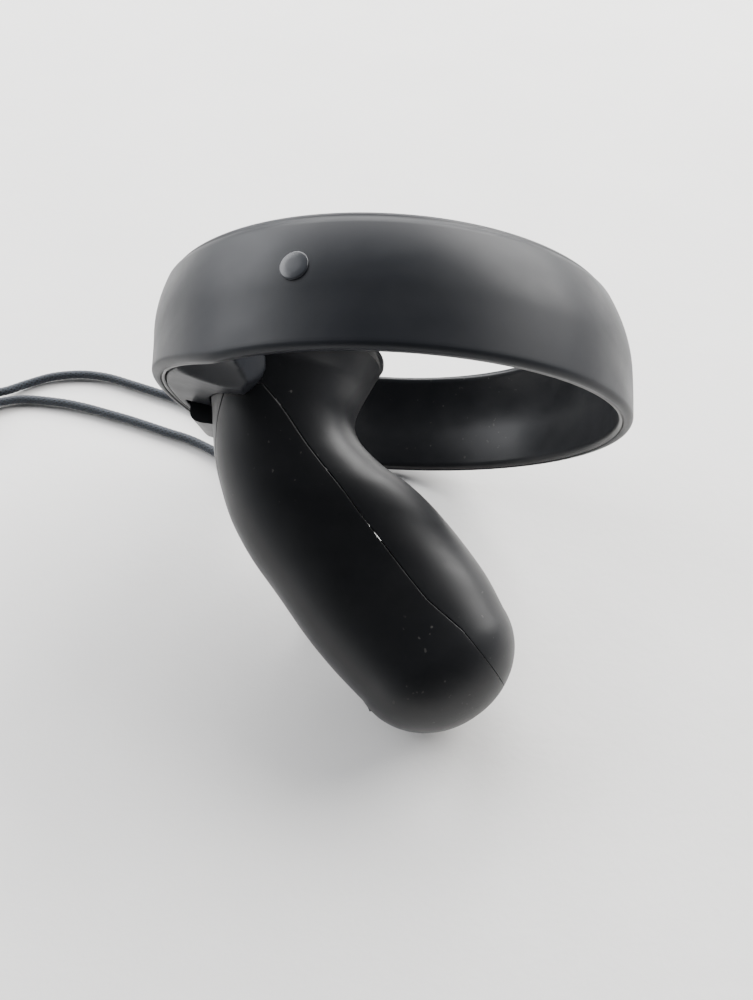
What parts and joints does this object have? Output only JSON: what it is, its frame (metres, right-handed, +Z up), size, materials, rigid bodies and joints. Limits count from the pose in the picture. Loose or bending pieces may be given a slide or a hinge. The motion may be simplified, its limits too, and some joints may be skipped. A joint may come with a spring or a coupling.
{
  "type": "vr motion controller",
  "caption": "Hand-held motion controller with a tracking ring, thumbstick, buttons, triggers, battery handle and a braided wrist lanyard.",
  "frame": {"origin": "centre of the lowest plane of the object's box without the lanyard, on the surface it lies on", "axes": "+Z up from the surface, +X from the trigger side of the ring to its open side, +Y from the handle end towards the ring"},
  "size_m": [0.2262, 0.1074, 0.0974],
  "materials": {
    "ring_plastic": "satin slate grey with a soft sheen",
    "liner_plastic": "dark satin, window for the emitters",
    "badge": "smooth round dot",
    "shell_plastic": "fine matte with rubbed highlights",
    "cover_plastic": "fine matte, soft touch",
    "plate": "smooth dark plate",
    "rubber": "matte",
    "trim": "matte",
    "button": "satin",
    "trigger": "satin",
    "frame_plastic": "moulded",
    "board": "solder mask",
    "flex": "polyimide film",
    "led": "dark clear epoxy",
    "steel": "drawn and ground",
    "cell": "plain printed sleeve",
    "antenna_metal": "stamped",
    "cord": "braided polyester"
  },
  "bodies": {
    "casing": {"ring_outer_shell": "ring_plastic", "ring_inner_liner": "liner_plastic", "ring_bridge": "ring_plastic", "ring_badge": "badge", "ring_flex": "flex", "ir_leds": "led", "main_shell": "shell_plastic", "face_plate": "plate", "stick_collar": "trim", "stick_housing": "frame_plastic", "button_mat": "rubber", "main_board": "board", "chassis": "frame_plastic", "trigger_pin": "steel", "trigger_spring": "steel", "grip_pin": "steel", "grip_spring": "steel", "aa_battery": "cell", "battery_spring": "steel", "battery_contact": "steel", "haptic_motor": "steel", "antenna": "antenna_metal", "screws": "steel", "lanyard_eyelet": "trim", "lanyard_cord": "cord", "cord_lock_body": "trim", "cord_lock_spring": "steel"},
    "battery_cover": {"battery_cover": "cover_plastic"},
    "index_trigger": {"index_trigger": "trigger", "trigger_magnet": "steel"},
    "grip_trigger": {"grip_trigger": "trigger", "grip_magnet": "steel"},
    "stick_yoke": {"stick_yoke": "steel"},
    "stick_rocker": {"stick_rocker": "steel"},
    "thumbstick": {"thumbstick_cap": "rubber", "stick_dome": "rubber", "stick_shaft": "steel"},
    "button_upper": {"button_upper": "button"},
    "button_lower": {"button_lower": "button"},
    "menu_button": {"menu_button": "button"},
    "cord_lock_plunger": {"cord_lock_plunger": "trigger"}
  },
  "joints": [
    {"name": "index_trigger_pull", "type": "hinge", "parent": "casing", "child": "index_trigger", "pos_m": [-0.03, 0.01892, 0.03861], "axis": [0, -0.454, 0.891], "range_deg": [0, 12], "stiffness_Nm_per_rad": 0.02, "springref_deg": -28.65},
    {"name": "grip_trigger_squeeze", "type": "hinge", "parent": "casing", "child": "grip_trigger", "pos_m": [-0.00796, -0.00032, 0.02443], "axis": [-0.5878, 0.7208, 0.3673], "range_deg": [0, 5], "stiffness_Nm_per_rad": 0.01, "springref_deg": -28.65},
    {"name": "stick_tilt_side", "type": "hinge", "parent": "casing", "child": "stick_yoke", "pos_m": [-0.01752, 0.01694, 0.04153], "axis": [-0.9877, 0.1394, 0.071], "range_deg": [-14, 14], "stiffness_Nm_per_rad": 0.01},
    {"name": "stick_tilt_forward", "type": "hinge", "parent": "stick_yoke", "child": "stick_rocker", "pos_m": [-0.01752, 0.01694, 0.04153], "axis": [0, 0.454, -0.891], "range_deg": [-14, 14], "stiffness_Nm_per_rad": 0.01},
    {"name": "stick_click", "type": "slide", "parent": "stick_rocker", "child": "thumbstick", "axis": [-0.1564, -0.88, -0.4484], "range_m": [0, 0.0004], "stiffness_N_per_m": 60, "springref_m": -0.01},
    {"name": "upper_button_press", "type": "slide", "parent": "casing", "child": "button_upper", "axis": [-0.1564, -0.88, -0.4484], "range_m": [0, 0.0008], "stiffness_N_per_m": 20, "springref_m": -0.02},
    {"name": "lower_button_press", "type": "slide", "parent": "casing", "child": "button_lower", "axis": [-0.1564, -0.88, -0.4484], "range_m": [0, 0.0008], "stiffness_N_per_m": 20, "springref_m": -0.02},
    {"name": "menu_button_press", "type": "slide", "parent": "casing", "child": "menu_button", "axis": [-0.1564, -0.88, -0.4484], "range_m": [0, 0.0008], "stiffness_N_per_m": 10, "springref_m": -0.02},
    {"name": "battery_cover_slide", "type": "slide", "parent": "casing", "child": "battery_cover", "axis": [0.6794, -0.6118, -0.405], "range_m": [0, 0.02]},
    {"name": "cord_lock_press", "type": "slide", "parent": "casing", "child": "cord_lock_plunger", "axis": [0, -1, 0], "range_m": [0, 0.0012], "stiffness_N_per_m": 20, "springref_m": -0.01}
  ]
}
